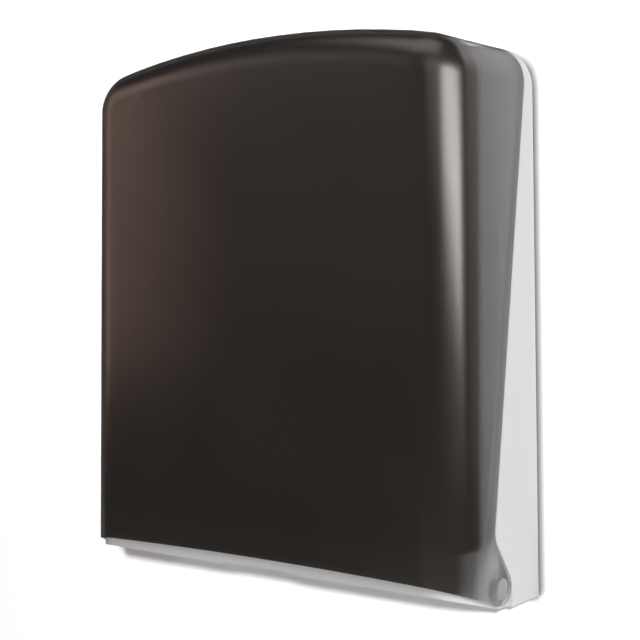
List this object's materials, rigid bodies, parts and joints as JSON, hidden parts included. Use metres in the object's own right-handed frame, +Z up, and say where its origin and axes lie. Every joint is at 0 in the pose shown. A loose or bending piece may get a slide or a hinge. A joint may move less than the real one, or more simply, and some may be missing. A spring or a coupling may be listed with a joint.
{
  "type": "folded towel dispenser",
  "caption": "Wall-mounted folded towel dispenser: a white housing and tray with a dispensing slot, under a smoke translucent cover that is hinged at the bottom and locks at the top.",
  "frame": {"origin": "centre of the four wall screws, on the wall plane", "axes": "+X across the dispenser, to the right seen from the front; +Y into the wall; +Z up"},
  "size_m": [0.27, 0.091, 0.3202],
  "materials": {
    "white_plastic": "fine satin moulding",
    "smoke_plastic": "translucent smoke, satin outside",
    "grey_plastic": "satin",
    "zinc_steel": "zinc plated",
    "spring_steel": "plain spring steel",
    "lock_chrome": "polished"
  },
  "bodies": {
    "base": {"rear_housing": "white_plastic", "towel_tray": "white_plastic", "tray_screws": "zinc_steel", "left_paper_guide": "white_plastic", "right_paper_guide": "white_plastic", "left_hinge_pin": "grey_plastic", "right_hinge_pin": "grey_plastic", "left_pin_clip": "spring_steel", "right_pin_clip": "spring_steel", "latch_keeper": "zinc_steel", "keeper_screws": "zinc_steel"},
    "cover": {"front_cover": "smoke_plastic", "lock_barrel": "lock_chrome", "lock_nut": "zinc_steel"},
    "lock_core": {"lock_plug": "lock_chrome", "lock_cam": "zinc_steel", "cam_screw": "zinc_steel"}
  },
  "joints": [
    {"name": "cover_hinge", "type": "hinge", "parent": "base", "child": "cover", "pos_m": [0, -0.0405, -0.1484], "axis": [1, 0, 0], "range_deg": [0, 105]},
    {"name": "lock_turn", "type": "hinge", "parent": "cover", "child": "lock_core", "pos_m": [0, -0.024, 0.1423], "axis": [0, 0, -1], "range_deg": [0, 90]}
  ]
}
